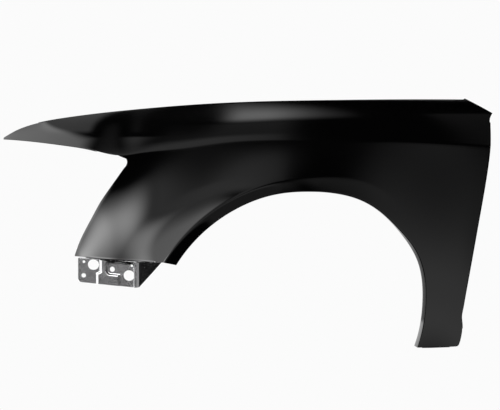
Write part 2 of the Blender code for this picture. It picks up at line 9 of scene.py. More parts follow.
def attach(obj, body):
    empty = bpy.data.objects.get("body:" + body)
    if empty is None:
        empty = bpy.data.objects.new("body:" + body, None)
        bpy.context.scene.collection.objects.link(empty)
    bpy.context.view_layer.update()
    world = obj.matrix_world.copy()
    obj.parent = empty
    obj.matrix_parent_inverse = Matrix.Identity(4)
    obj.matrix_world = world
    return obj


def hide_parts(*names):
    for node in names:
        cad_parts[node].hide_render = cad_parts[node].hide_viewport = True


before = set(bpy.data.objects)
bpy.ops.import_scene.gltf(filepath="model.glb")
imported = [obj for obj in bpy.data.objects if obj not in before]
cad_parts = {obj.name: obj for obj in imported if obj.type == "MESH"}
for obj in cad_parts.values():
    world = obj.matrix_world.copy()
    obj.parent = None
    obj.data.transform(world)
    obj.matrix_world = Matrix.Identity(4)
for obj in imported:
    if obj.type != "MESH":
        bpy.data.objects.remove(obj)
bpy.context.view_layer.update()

# Left front fender of a car in a photo studio: the pressed panel and its bracket, finely surfaced.
# Design frame, in metres: +X rearward, +Y inboard, +Z up, X = Z = 0 at the centre of the wheel-arch circle.
# RAIL is the wing-rail pad in that frame; meshes are moved so that it is the origin, as in the CAD.

RAIL = np.array((-0.28949820, 0.14931591, 0.5112))

# Sheet metal
SHEET = 0.0008
BRACKET_SHEET = 0.0015
WELD_GAP = 0.0003
WELD_DISTANCE = 0.00001

# Plan line of the body side along the shoulder crease: length position, depth inboard
PLAN_LINE = ((-0.890, 0.2857), (-0.665, 0.1057), (-0.500, 0.0610), (-0.300, 0.0325),
             (-0.100, 0.0082), (0.060, -0.0002), (0.280, 0.0001), (0.480, 0.0274))

# Shoulder crease and the edge over the headlamp: length position, height
CREASE_LINE = ((-0.8850, 0.4463), (-0.802, 0.4367), (-0.676, 0.4187), (-0.615, 0.4078), (-0.557, 0.3935),
               (-0.530, 0.3901), (-0.474, 0.3970), (-0.363, 0.4090), (-0.254, 0.4216), (-0.092, 0.4290),
               (0.068, 0.4288), (0.230, 0.4265), (0.392, 0.4197), (0.475, 0.4157))
CREASE_SOFTNESS = 0.002

# Edge beside the bonnet: length position, height
BONNET_LINE = ((-0.8850, 0.4495), (-0.842, 0.4686), (-0.800, 0.4814), (-0.684, 0.5009), (-0.509, 0.5197),
               (-0.283, 0.5359), (-0.006, 0.5428), (0.424, 0.5473))

# Inboard run of the shoulder from the crease to the bonnet edge
SHOULDER_RUN = ((-0.8850, 0.0030), (-0.842, 0.0085), (-0.800, 0.0203), (-0.684, 0.0593), (-0.509, 0.0894),
                (-0.283, 0.0978), (-0.006, 0.0982), (0.240, 0.1030), (0.480, 0.1084))

# Section of the shoulder: length position, share of the run that is straight and share that is cubic
SHOULDER_START = ((-0.850, 0.648), (-0.650, 0.727), (-0.450, 0.295), (-0.250, 0.026), (0.050, 0.100),
                  (0.450, 0.179))
SHOULDER_CUBE = ((-0.850, -0.733), (-0.650, 0.363), (-0.450, 0.054), (-0.250, -0.353), (0.050, -0.028),
                 (0.450, 0.441))
LEAST_HEIGHT = 0.002

# Body side below the crease: length position, slope at the crease, curvature and its change down the panel
SIDE_SLOPE = ((-0.660, -0.0363), (-0.560, 0.2236), (-0.450, 0.0926), (-0.300, 0.0063), (-0.100, 0.0271),
              (0.100, 0.0009), (0.300, 0.0260), (0.480, 0.0105))
SIDE_CURVE = ((-0.660, 1.093), (-0.560, -1.282), (-0.450, -0.984), (-0.300, -0.089), (-0.100, -0.813),
              (0.100, -0.081), (0.300, -0.128), (0.480, 0.017))
SIDE_CUBE = ((-0.660, -2.694), (-0.560, 0.993), (-0.450, 1.531), (-0.300, -0.725), (-0.100, 0.919),
             (0.100, 0.132), (0.300, 0.275), (0.480, -0.022))

# Wheel arch, its lip band and its flare
ARCH_RADIUS = 0.2945
ARCH_DRAW = 0.0546
ARCH_DRAW_POWER = 1.79
ARCH_STEP = 0.0057
ARCH_LEAN_START = math.radians(42)
ARCH_LEAN_END = math.radians(68)
ARCH_TRIM = ((math.radians(-115), 0.0083), (math.radians(-90), 0.0012), (math.radians(-70), 0.0052),
             (math.radians(-52), 0.0012), (math.radians(-36), 0.0026), (math.radians(-24), 0.0023),
             (math.radians(-10), -0.0016), (math.radians(3), -0.0020),
             (math.radians(22), 0.0), (math.radians(40), -0.0013), (math.radians(76), -0.0012))
ARCH_FRONT = math.radians(76.1)
ARCH_REAR = math.radians(-115)
LIP_WIDTH = ((math.radians(-115), 0.0427), (math.radians(-20), 0.0477), (math.radians(0), 0.0387),
             (math.radians(35), 0.0287), (math.radians(76), 0.0327))
LIP_FOLD = ((math.radians(-115), 0.0), (math.radians(-60), 0.0), (math.radians(-20), math.radians(1.9)),
            (math.radians(5), math.radians(10.5)), (math.radians(35), math.radians(33.9)),
            (math.radians(76), math.radians(49.5)))
LIP_ROUNDING = 0.004
FLARE_HEIGHT = 0.0295
FLARE_WIDTH = 0.1188
FLARE_NARROW = 0.25
FLARE_FALL = 2.16
FLARE_FRONT = math.radians(76.3)
FLARE_REAR = math.radians(15.2)

# Side-view corners are (length position, height); the bumper and door edges are (height, length position)
FRONT_EDGE = ((0.1130, -0.6590), (0.1586, -0.6402), (0.2255, -0.6036), (0.2620, -0.5830), (0.2918, -0.5625),
              (0.3560, -0.5153))
LAMP_THROAT = (-0.4978, 0.3836)
LAMP_ROUND = 0.0165
FRONT_BOTTOM = (-0.6580, 0.1132)
DOOR_EDGE = ((-0.112, 0.3952), (-0.095, 0.3987), (-0.080, 0.4002), (-0.062, 0.3993), (-0.047, 0.3980),
             (-0.027, 0.4011), (0.000, 0.4060), (0.081, 0.4207), (0.210, 0.4442), (0.340, 0.4670),
             (0.404, 0.4752), (0.4925, 0.4794))
LAMP_CORNER = -0.5330
BONNET_PEAK = (0.424, 0.5506)
PEAK_RUN = 0.016
PEAK_CROWD = 3
PILLAR_CORNER = (0.4905, 0.5062)
PILLAR_STEP = (0.4798, 0.4926)
FOOT_LEVEL = -0.1300
FOOT_CORNER = (0.3740, -0.1282)
FOOT_HEEL = (0.3900, -0.1275)
FOOT_HEEL_RADIUS = 0.009

# Folded edges and the gutter beside the bonnet
EDGE_BEND = 0.0016
LAMP_FLANGE = 0.012
LAMP_TAPER = (-0.89, -0.80)
BUMPER_FLANGE = 0.014
DOOR_FLANGE = 0.015
BOTTOM_FLANGE = 0.024
FOOT_FLANGE = 0.026
ARCH_BEND = 0.0025
ARCH_FLANGE = 0.019
ARCH_LEAN = math.radians(17)
BOLT_TAB = 0.016
BOLT_TAB_FLAT = 0.0135
BOLT_TAB_SPAN = 0.030
DOOR_TABS = (0.440, 0.300, 0.060)
GUTTER_BEND = 0.003
LEDGE_BEND = 0.004
LEDGE_WIDTH = 0.027
LEDGE_LINE = ((-0.800, 0.450), (-0.605, 0.486), (-0.535, 0.486), (-0.345, 0.512), (-0.265, 0.512),
              (0.040, 0.520), (0.420, 0.520))
LEDGE_FRONT = -0.775
BOLT_PADS = (-0.570, -0.305, 0.100, 0.340)
LEDGE_BOLT = 0.0045
TAB_BOLT = 0.0038
TAB_BOLT_REACH = 0.62
LINER_HOLE = 0.0026
LINER_ANGLES = (66, 38, 8, -26)
FOOT_BOLT = 0.0042
BUMPER_HOLE = 0.0030
BUMPER_HOLES = (0.145, 0.225, 0.305)
HOLE_DEPTH = 0.006

# Bumper bracket
BRACKET_FRONT = -0.6490
BRACKET_REAR = -0.4815
BRACKET_SETBACK = 0.003
BRACKET_TONGUE = 0.010
BRACKET_BEND = 0.0015
BRACKET_DROP_FRONT = 0.0675
BRACKET_DROP_REAR = 0.0705
BRACKET_CORNER = 0.012
BRACKET_HEADER = 0.0015
BRACKET_RISE = 0.0045
BRACKET_STEP = 0.0055
FRONT_STEP = 0.011
FRONT_STEP_UPPER = 0.0677
FRONT_STEP_LOWER = 0.0567
FRONT_STEP_JOG = (0.032, 0.041)
HOLLOW_FRONT = 0.091
HOLLOW_LEG = 0.131
HOLLOW_TOP = 0.005
HOLLOW_SHELF = 0.039
HOLLOW_CORNER = 0.013
BRACKET_RIM = 0.0065
WALL_ROUND = 0.004
WALL_LENGTH = 0.0627
WALL_CREST = 0.008
WALL_TURN = math.radians(47)
CHAMFER_TURN = math.radians(30.5)
CHAMFER_WIDTH = 0.006
WALL_TIP = 0.002
BRACKET_HOLES = ((0.0486, 0.0155, 0.0182, 0.0144), (0.1605, 0.0378, 0.0172, 0.0142),
                 (0.0182, 0.0092, 0.0048, 0.0038), (0.0175, 0.0472, 0.0078, 0.0060),
                 (0.1083, 0.0243, 0.0080, 0.0070), (0.1690, 0.0107, 0.0042, 0.0030))

# Grid density: columns and rows of the plain grid, and how many parts each is split into
FRONT_COLUMNS = 10
LAMP_COLUMNS = 3
CREASE_COLUMNS = 34
PEAK_COLUMNS = 3
DOOR_COLUMNS = 17
DOOR_CROWD = 1.5
HORN_COLUMNS = 13
HORN_CROWD = 1.2
SIDE_ROWS = 8
SIDE_CROWD = 1.1
SHOULDER_ROWS = 7
SHOULDER_CROWD = 1.25
LIP_SHARES = (0, 0.3, 0.6, 0.82, 1.0)
FINE = 5
THROAT_COLUMNS = 2
HEEL_COLUMNS = 3
OUTLINE_POINTS = 160
ARC_POINTS = 25
BEND_STEPS = 6
BRACKET_COLUMNS = 170
BRACKET_ROWS = 75
WALL_COLUMNS = 24
HOLE_SIDES = 40
SHARP_ANGLE = math.radians(35)

UP = np.array((0.0, 0.0, 1.0))
INBOARD = np.array((0.0, 1.0, 0.0))


# Curves

def spline(knots, at):
    """Natural cubic curve through the knots, carried on straight past both ends."""
    knots = np.asarray(knots, float)
    x, y = knots[:, 0], knots[:, 1]
    gap = np.diff(x)
    rise = np.diff(y) / gap
    count = len(x)
    matrix = np.eye(count)
    target = np.zeros(count)
    for i in range(1, count - 1):
        matrix[i, i - 1:i + 2] = gap[i - 1], 2 * (gap[i - 1] + gap[i]), gap[i]
        target[i] = 6 * (rise[i] - rise[i - 1])
    bend = np.linalg.solve(matrix, target)
    at = np.asarray(at, float)
    i = np.clip(np.searchsorted(x, at) - 1, 0, count - 2)
    step = np.clip(at, x[0], x[-1]) - x[i]
    slope = rise[i] - gap[i] * (2 * bend[i] + bend[i + 1]) / 6
    value = y[i] + slope * step + bend[i] * step ** 2 / 2 + (bend[i + 1] - bend[i]) * step ** 3 / (6 * gap[i])
    end_slope = slope + bend[i] * step + (bend[i + 1] - bend[i]) * step ** 2 / (2 * gap[i])
    return value + end_slope * (at - np.clip(at, x[0], x[-1]))


def ramp(value, low, high):
    """Smooth step 3s² - 2s³ from 0 at low to 1 at high."""
    share = np.clip((value - low) / (high - low), 0, 1)
    return share * share * (3 - 2 * share)


def run_along(points):
    """Distance along a polyline at each of its points."""
    return np.concatenate(([0], np.cumsum(np.linalg.norm(np.diff(points, axis=0), axis=1))))


def spread(points, count, crowd=1.0):
    """Points spaced along a polyline, evenly or crowded towards its end."""
    points = np.asarray(points, float)
    run = run_along(points)
    at = run[-1] * (1 - (1 - np.linspace(0, 1, count)) ** crowd)
    return np.stack([np.interp(at, run, points[:, k]) for k in range(points.shape[1])], axis=1)


def split(values, parts):
    """Each step of a row of numbers or points cut into equal parts."""
    values = np.asarray(values, float)
    at = np.linspace(0, len(values) - 1, (len(values) - 1) * parts + 1)
    low = np.minimum(at.astype(int), len(values) - 2)
    share = (at - low).reshape(-1, *([1] * (values.ndim - 1)))
    return values[low] * (1 - share) + values[low + 1] * share


def corner_arc(before, corner, after, radius, count):
    """Points of an arc of the given radius that rounds the corner between two straight edges."""
    before, corner, after = (np.asarray(p, float) for p in (before, corner, after))
    a = (before - corner) / np.linalg.norm(before - corner)
    b = (after - corner) / np.linalg.norm(after - corner)
    half = math.acos(float(np.clip(a @ b, -1, 1))) / 2
    setback = radius / math.tan(half)
    centre = corner + (a + b) / np.linalg.norm(a + b) * radius / math.sin(half)
    start = corner + a * setback - centre
    end = corner + b * setback - centre
    sweep = math.pi - 2 * half
    at = np.linspace(0, 1, count)[:, None]
    return centre + (np.sin((1 - at) * sweep) * start + np.sin(at * sweep) * end) / math.sin(sweep)


# The pressed surface

def rear_leg(angle):
    """0 over the top and front of the arch, 1 down its rear leg."""
    return ramp(-angle, ARCH_LEAN_START, ARCH_LEAN_END)


def edge_radius(angle):
    """Distance of the arch edge from its centre: radius + draw × a^power ahead + the step behind + trim."""
    drawn = ARCH_DRAW * np.maximum(angle, 0) ** ARCH_DRAW_POWER
    return ARCH_RADIUS + drawn + ARCH_STEP * rear_leg(angle) + spline(ARCH_TRIM, angle)


def ridge_radius(angle):
    """Arch edge radius plus the width of the lip band, less the rear leg's step."""
    return edge_radius(angle) + spline(LIP_WIDTH, angle) - ARCH_STEP * rear_leg(angle)


def skin_depth(x, z):
    """Depth inboard of the outer face at a point of the side view.

    Plan line + shoulder run × (start × s + (1 - start - cube) × s² + cube × s³), s being the share of
    the way from the crease to the bonnet edge, + slope × b + curve × b² + change × b³ at b below the
    crease, - flare × (1 - distance outside the arch ridge ÷ width) ^ fall + tan(fold) × the distance
    inside the ridge, rounded where it starts.
    """
    crease = spline(CREASE_LINE, x)
    height = np.maximum(spline(BONNET_LINE, x) - crease, LEAST_HEIGHT)
    signed = z - crease
    above = (signed + np.hypot(signed, CREASE_SOFTNESS)) / 2
    below = above - signed
    share = above / height
    start = spline(SHOULDER_START, x)
    cube = spline(SHOULDER_CUBE, x)
    shoulder = spline(SHOULDER_RUN, x) * (start * share + (1 - start - cube) * share ** 2 + cube * share ** 3)
    side = (spline(SIDE_SLOPE, x) * below + spline(SIDE_CURVE, x) * below ** 2
            + spline(SIDE_CUBE, x) * below ** 3)
    angle = np.arctan2(-x, z)
    outside = np.hypot(x, z) - ridge_radius(angle)
    swell = ramp(angle, FLARE_REAR, FLARE_FRONT)
    width = FLARE_WIDTH * (FLARE_NARROW + (1 - FLARE_NARROW) * swell)
    flare = FLARE_HEIGHT * swell * np.clip(1 - np.maximum(outside, 0) / width, 0, 1) ** FLARE_FALL
    inside = np.maximum(-outside, 0)
    fold = np.tan(np.maximum(spline(LIP_FOLD, angle), 0))
    lip = fold * (inside - LIP_ROUNDING * (1 - np.exp(-inside / LIP_ROUNDING)))
    return spline(PLAN_LINE, x) + shoulder + side - flare + lip


def on_skin(flat):
    """Side-view points (x, z) laid on the pressed surface: (x, depth(x, z), z)."""
    x, z = flat[..., 0], flat[..., 1]
    return np.stack((x, skin_depth(x, z), z), axis=-1)


# Outlines in the side view

def arch_columns():
    """Edge and ridge of the arch, (-sin a, cos a) × radius(a), from the front end to the foot."""
    columns = (FRONT_COLUMNS + LAMP_COLUMNS + CREASE_COLUMNS + PEAK_COLUMNS + DOOR_COLUMNS) * FINE
    share = np.linspace(0, 1, columns + 1)
    rows = []
    for radius in (edge_radius, ridge_radius):
        rear = -math.pi / 2 - math.asin(-FOOT_LEVEL / float(radius(ARCH_REAR)))
        angle = ARCH_FRONT + (rear - ARCH_FRONT) * share
        rows.append(np.stack((-np.sin(angle) * radius(angle), np.cos(angle) * radius(angle)), axis=1))
    return rows


def crease_row():
    """Crease from the lamp corner to the door edge, with one station below the bonnet peak."""
    door = float(spline(DOOR_EDGE, spline(CREASE_LINE, DOOR_EDGE[-2][1])))
    peak = BONNET_PEAK[0] - PEAK_RUN
    x = np.concatenate((np.linspace(LAMP_CORNER, peak, CREASE_COLUMNS * FINE + 1),
                        peak + (door - peak) * np.linspace(0, 1, PEAK_COLUMNS * FINE + 1)[1:] ** PEAK_CROWD))
    return np.stack((x, spline(CREASE_LINE, x)), axis=1)


def side_outline():
    """Outer boundary below the crease: bumper edge, lamp corner, crease, door edge and foot corner."""
    z = np.linspace(FRONT_EDGE[0][0], FRONT_EDGE[-1][0], OUTLINE_POINTS)
    front = np.stack((spline(FRONT_EDGE, z), z), axis=1)
    front = np.concatenate(([FRONT_BOTTOM], front[1:]))
    crease = crease_row()
    lamp = corner_arc(front[-1], LAMP_THROAT, crease[0], LAMP_ROUND, ARC_POINTS)
    lamp = np.concatenate((front[-1:], lamp, crease[:1]))
    z = np.linspace(crease[-1][1], DOOR_EDGE[0][0], OUTLINE_POINTS)
    door = np.stack((spline(DOOR_EDGE, z), z), axis=1)
    heel = corner_arc(door[-1], FOOT_HEEL, FOOT_CORNER, FOOT_HEEL_RADIUS, ARC_POINTS)
    door = np.concatenate((door, heel, [FOOT_CORNER]))
    door[0] = crease[-1]
    return np.concatenate((spread(front, FRONT_COLUMNS * FINE + 1), spread(lamp, LAMP_COLUMNS * FINE + 1)[1:],
                           crease[1:], spread(door, DOOR_COLUMNS * FINE + 1, DOOR_CROWD)[1:]))


def bonnet_row():
    """Upper boundary over the crease row: bonnet edge, peak, pillar corner and pillar step."""
    x = np.linspace(LAMP_CORNER, BONNET_PEAK[0], CREASE_COLUMNS * FINE + 1)
    edge = np.stack((x, spline(BONNET_LINE, x)), axis=1)
    edge[-1] = BONNET_PEAK
    middle = (np.array(BONNET_PEAK) + PILLAR_CORNER) / 2
    return np.concatenate((edge, split([BONNET_PEAK, middle, PILLAR_CORNER, PILLAR_STEP], FINE)[1:]))


def between(lower, upper, shares):
    """Ruled grid lower × (1 - s) + upper × s of side-view points, each step of s cut fine."""
    shares = split(shares, FINE)[:, None, None]
    return lower[None] * (1 - shares) + upper[None] * shares


def skin_grids():
    """The outer skin in four grids: shoulder, horn over the lamp, side and lip."""
    edge, ridge = arch_columns()
    rise = np.linspace(0, 1, SHOULDER_ROWS + 1) ** SHOULDER_CROWD
    shoulder = between(crease_row(), bonnet_row(), rise)
    tip = CREASE_LINE[0][0]
    x = tip + (LAMP_CORNER - tip) * np.linspace(0, 1, HORN_COLUMNS * FINE + 1) ** HORN_CROWD
    lamp_edge = np.stack((x, spline(CREASE_LINE, x)), axis=1)
    horn = between(lamp_edge, np.stack((x, spline(BONNET_LINE, x)), axis=1), rise)
    side = between(ridge, side_outline(), np.linspace(0, 1, SIDE_ROWS + 1) ** SIDE_CROWD)
    lip = between(edge, ridge, LIP_SHARES)
    return {name: on_skin(grid) for name, grid in
            (("shoulder", shoulder), ("horn", horn), ("side", side), ("lip", lip))}


# Folded edges

def unit(vectors):
    """Vectors divided by their lengths."""
    return vectors / np.linalg.norm(vectors, axis=-1, keepdims=True)


def edge_frame(edge, inner):
    """Directions of a skin edge, taken at the plain grid's points: out of it along the skin, and outward."""
    along = unit(np.gradient(edge[::FINE], axis=0))
    leaving = (edge - inner)[::FINE]
    out = unit(leaving - np.sum(leaving * along, axis=1, keepdims=True) * along)
    normal = unit(np.cross(along, out))
    normal = normal * np.where(normal[:, 1:2] > 0, -1, 1)
    return unit(split(out, FINE)), unit(split(normal, FINE))


def folded(edge, start, end, bend, width):
    """Folded edge: bend × (sin a × start + (1 - cos a) × across) up to the turn, then a flat along end."""
    cosine = np.clip(np.sum(start * end, axis=1, keepdims=True), -1, 1)
    turn = np.arccos(cosine)
    across = unit(end - cosine * start)
    rows = [edge]
    for step in range(1, BEND_STEPS + 1):
        angle = turn * step / BEND_STEPS
        rows.append(edge + bend * (np.sin(angle) * start + (1 - np.cos(angle)) * across))
    width = np.broadcast_to(width, len(edge))[:, None]
    rows.append(rows[-1] + end * width)
    return np.array(rows)


def plain_flange(edge, inner, width):
    """Flange turned square in from the skin."""
    out, normal = edge_frame(edge, inner)
    return folded(edge, out, -normal, EDGE_BEND, width)


def level_flange(edge, inner, width):
    """Flange turned in level."""
    out, _ = edge_frame(edge, inner)
    return folded(edge, out, level_inboard(edge), EDGE_BEND, width)


def level_inboard(edge):
    """Level direction square to an edge, pointing inboard, taken at the plain grid's points."""
    along = np.gradient(edge[::FINE], axis=0) * (1, 1, 0)
    across = unit(np.cross(along, UP))
    return unit(split(across * np.where(across[:, 1:2] < 0, -1, 1), FINE))


def gutter_grids(edge, inner):
    """Bonnet-side gutter: the edge turned down, then in to a ledge whose bolt pads are flat."""
    out, _ = edge_frame(edge, inner)
    down = np.broadcast_to(-UP, edge.shape)
    ledge = np.interp(edge[:, 0], *np.transpose(LEDGE_LINE))
    wall = folded(edge, out, down, GUTTER_BEND, 0.0)[:-1]
    wall_end = wall[-1].copy()
    wall_end[:, 2] = ledge + LEDGE_BEND
    wall = np.concatenate((wall, [wall_end]))
    return wall, folded(wall_end, down, level_inboard(edge), LEDGE_BEND, LEDGE_WIDTH - LEDGE_BEND)


def arch_flange(edge, inner):
    """Flange inside the arch: inboard × cos(lean) + to the centre × sin(lean), leaning down the rear leg."""
    out, _ = edge_frame(edge, inner)
    centre = unit(-edge * (1, 0, 1))
    lean = ARCH_LEAN * rear_leg(np.arctan2(-edge[:, 0], edge[:, 2]))[:, None]
    return folded(edge, out, INBOARD * np.cos(lean) + centre * np.sin(lean), ARCH_BEND, ARCH_FLANGE)


def tab_width(height):
    """Door-edge flange, widened by a smooth step round each hinge-pillar bolt."""
    width = np.full(len(height), DOOR_FLANGE)
    for centre in DOOR_TABS:
        width += BOLT_TAB * (1 - ramp(np.abs(height - centre), BOLT_TAB_FLAT, BOLT_TAB_SPAN))
    return width


def bottom_edge(side):
    """Lower front edge of the skin from the bumper edge back, and the row above it."""
    return side[FINE:-FINE, 0][::-1], side[FINE:-FINE, 1][::-1]


def bottom_flange(side):
    """Level flange under the lower front edge, to which the bracket is welded."""
    edge, inner = bottom_edge(side)
    return level_flange(edge, inner, BOTTOM_FLANGE)


def panel_grids():
    """Every grid of the panel by name: skin and folded edges."""
    grids = skin_grids()
    side, shoulder, horn, lip = grids["side"], grids["shoulder"], grids["horn"], grids["lip"]
    crease_end = (FRONT_COLUMNS + LAMP_COLUMNS + CREASE_COLUMNS + PEAK_COLUMNS) * FINE
    front = slice(FINE, FRONT_COLUMNS * FINE + 1)
    grids["bumper_flange"] = plain_flange(side[-1, front], side[-2, front], BUMPER_FLANGE)
    pillar, pillar_inner = shoulder[:-FINE, -1][::-1], shoulder[:-FINE, -2][::-1]
    heel = slice(crease_end + 1, -(HEEL_COLUMNS + 1) * FINE)
    door = np.concatenate((pillar, side[-1, heel]))
    door_inner = np.concatenate((pillar_inner, side[-2, heel]))
    grids["door_flange"] = plain_flange(door, door_inner, tab_width(door[:, 2]))
    lamp = slice(0, -THROAT_COLUMNS * FINE)
    width = LAMP_FLANGE * ramp(horn[0, lamp, 0], *LAMP_TAPER)
    grids["lamp_flange"] = level_flange(horn[0, lamp], horn[1, lamp], width)
    foot = np.concatenate((lip[FINE:, -1], side[1:-FINE, -1]))
    foot_inner = np.concatenate((lip[FINE:, -2], side[1:-FINE, -2]))
    grids["foot_flange"] = plain_flange(foot, foot_inner, FOOT_FLANGE)
    grids["bottom_flange"] = bottom_flange(side)
    peak = (CREASE_COLUMNS - 1) * FINE + 1
    bonnet = np.concatenate((horn[-1], shoulder[-1, 1:peak]))
    bonnet_inner = np.concatenate((horn[-2], shoulder[-2, 1:peak]))
    first = FINE * int(np.argmax(bonnet[::FINE, 0] > LEDGE_FRONT))
    grids["gutter_wall"], grids["ledge"] = gutter_grids(bonnet[first:], bonnet_inner[first:])
    grids["arch_flange"] = arch_flange(lip[0], lip[1])
    return grids


# Bumper bracket

def rounded_box(across, down, box, corner):
    """Signed distance to a rectangle (left, right, top, bottom) with rounded corners, negative inside."""
    left, right, top, bottom = box
    side = np.abs(across - (left + right) / 2) - (right - left) / 2 + corner
    end = np.abs(down - (top + bottom) / 2) - (bottom - top) / 2 + corner
    outer = np.hypot(np.maximum(side, 0), np.maximum(end, 0))
    return outer + np.minimum(np.maximum(side, end), 0) - corner


def bracket_raise(along, down, length):
    """Height of the pressed face: a slope up behind the front strip, less a step into an L-shaped hollow.

    The whole is multiplied by a smooth step down from the top bend.
    """
    jog = ramp(down, *FRONT_STEP_JOG)
    step = FRONT_STEP_UPPER + (FRONT_STEP_LOWER - FRONT_STEP_UPPER) * jog
    field = np.clip((along - step) / FRONT_STEP, 0, 1)
    rim = length - BRACKET_RIM
    shelf = rounded_box(along, down, (HOLLOW_FRONT, rim, HOLLOW_TOP, HOLLOW_SHELF), HOLLOW_CORNER)
    leg = rounded_box(along, down, (HOLLOW_LEG, rim, HOLLOW_TOP, 2 * BRACKET_DROP_REAR), HOLLOW_CORNER)
    hollow = 1 - ramp(np.minimum(shelf, leg), -BRACKET_STEP / 2, BRACKET_STEP / 2)
    return BRACKET_RISE * (field - hollow) * ramp(down, 0, BRACKET_HEADER)


def bracket_wall(plate, inward, edge, seat):
    """Rear side wall: steps of stride × (cos a × heading + sin a × inboard) through the bend, a flat chamfer
    and a second bend, then straight on, its height tapering to the tip and its crest following the panel."""
    heading = unit(plate[0, -1] - plate[0, -2])
    angle = np.concatenate((np.linspace(0, CHAMFER_TURN, BEND_STEPS), [CHAMFER_TURN],
                            np.linspace(CHAMFER_TURN, WALL_TURN, BEND_STEPS),
                            np.full(WALL_COLUMNS, WALL_TURN)))
    stride = np.concatenate((np.full(BEND_STEPS, WALL_ROUND * CHAMFER_TURN / BEND_STEPS), [CHAMFER_WIDTH],
                             np.full(BEND_STEPS, WALL_ROUND * (WALL_TURN - CHAMFER_TURN) / BEND_STEPS),
                             np.full(WALL_COLUMNS, WALL_LENGTH / WALL_COLUMNS)))
    way = np.cos(angle)[:, None] * heading + np.sin(angle)[:, None] * inward
    walk = np.concatenate(([0 * heading], np.cumsum(stride[:, None] * way, axis=0)))
    share = np.concatenate((np.zeros(2 * BEND_STEPS + 2), np.linspace(0, 1, WALL_COLUMNS + 1)[1:]))
    wall = plate[:, -1][None] + walk[:, None]
    top = plate[0, -1, 2]
    fall = top - plate[:, -1, 2]
    crest = np.interp(wall[:, 0, 0], edge[:, 0], edge[:, 2]) - seat
    reach = np.concatenate(([0], np.cumsum(stride)))
    crest = top + (crest - top) * ramp(reach, 0, WALL_CREST)
    scale = 1 - share * (1 - WALL_TIP / fall[-1])
    wall[..., 2] = crest[:, None] - fall[None] * scale[:, None]
    return np.swapaxes(wall, 0, 1)


def bracket_grids(side):
    """Bracket plate under the lower front edge, straight in plan, with its welded tongue and side wall."""
    edge = np.concatenate((side[-1:, 0], bottom_edge(side)[0]))
    x = np.linspace(BRACKET_FRONT, BRACKET_REAR, BRACKET_COLUMNS + 1)
    ends = (BRACKET_FRONT, BRACKET_REAR)
    straight = np.interp(x, ends, np.interp(ends, edge[:, 0], edge[:, 1]))
    top = np.stack((x, straight, np.interp(x, edge[:, 0], edge[:, 2])), axis=1)
    inward = level_inboard(top)
    seat = EDGE_BEND + SHEET + WELD_GAP
    top = top + inward * BRACKET_SETBACK - UP * seat
    along = run_along(top)
    length = along[-1]
    down = np.linspace(0, 1, BRACKET_ROWS + 1)
    from_corner = np.maximum(BRACKET_CORNER - along, 0)
    drop = BRACKET_DROP_FRONT + (BRACKET_DROP_REAR - BRACKET_DROP_FRONT) * along / length
    drop = drop - BRACKET_CORNER + np.sqrt(BRACKET_CORNER ** 2 - from_corner ** 2)
    start = top - UP * BRACKET_BEND
    depth = down[:, None] * (drop - BRACKET_BEND)[None]
    rise = bracket_raise(along[None], depth, length)
    plate = start[None] - UP * depth[..., None] - inward[None] * rise[..., None]
    tongue = folded(start, np.broadcast_to(UP, start.shape), inward, BRACKET_BEND, BRACKET_TONGUE)
    return {"plate": plate, "tongue": tongue, "wall": bracket_wall(plate, inward[-1], edge, seat)}


# Holes

def flat_point(rows, stations, at, share=0.5):
    """Point on the flat of a folded edge at a station along it, and the direction square to the sheet."""
    middle = rows[-2] * (1 - share) + rows[-1] * share
    order = np.argsort(stations)
    point = np.array([np.interp(at, stations[order], middle[order, k]) for k in range(3)])
    near = int(np.clip(np.argmin(np.abs(stations - at)), 1, len(stations) - 2))
    square = np.cross(middle[near + 1] - middle[near - 1], rows[-1][near] - rows[-2][near])
    return point, unit(square)


def panel_holes(grids):
    """Bolt, clip and liner holes of the panel as (point, direction, half width, half height)."""
    holes = []
    ledge = grids["ledge"]
    for x in BOLT_PADS:
        holes.append((*flat_point(ledge, ledge[-1][:, 0], x), LEDGE_BOLT, LEDGE_BOLT))
    arch = grids["arch_flange"]
    angles = np.degrees(np.arctan2(-arch[-1][:, 0], arch[-1][:, 2]))
    for angle in LINER_ANGLES:
        holes.append((*flat_point(arch, angles, angle), LINER_HOLE, LINER_HOLE))
    door = grids["door_flange"]
    for z in DOOR_TABS:
        holes.append((*flat_point(door, door[-1][:, 2], z, TAB_BOLT_REACH), TAB_BOLT, TAB_BOLT))
    bumper = grids["bumper_flange"]
    for z in BUMPER_HOLES:
        holes.append((*flat_point(bumper, bumper[-1][:, 2], z), BUMPER_HOLE, BUMPER_HOLE))
    foot = grids["foot_flange"]
    middle = (ARCH_RADIUS + FOOT_CORNER[0]) / 2
    holes.append((*flat_point(foot, foot[-1][:, 0], middle), FOOT_BOLT, FOOT_BOLT))
    return holes


def bracket_holes(plate):
    """Holes of the bracket plate, placed by their distances along it and down it."""
    along = run_along(plate[0])
    holes = []
    for across, drop, wide, high in BRACKET_HOLES:
        column = int(np.clip(np.argmin(np.abs(along - across)), 1, BRACKET_COLUMNS - 1))
        top = np.array([np.interp(across, along, plate[0, :, k]) for k in range(3)])
        square = unit(np.cross(plate[0, column + 1] - plate[0, column - 1], UP))
        holes.append((top - UP * drop, square, wide, high))
    return holes


# Meshes

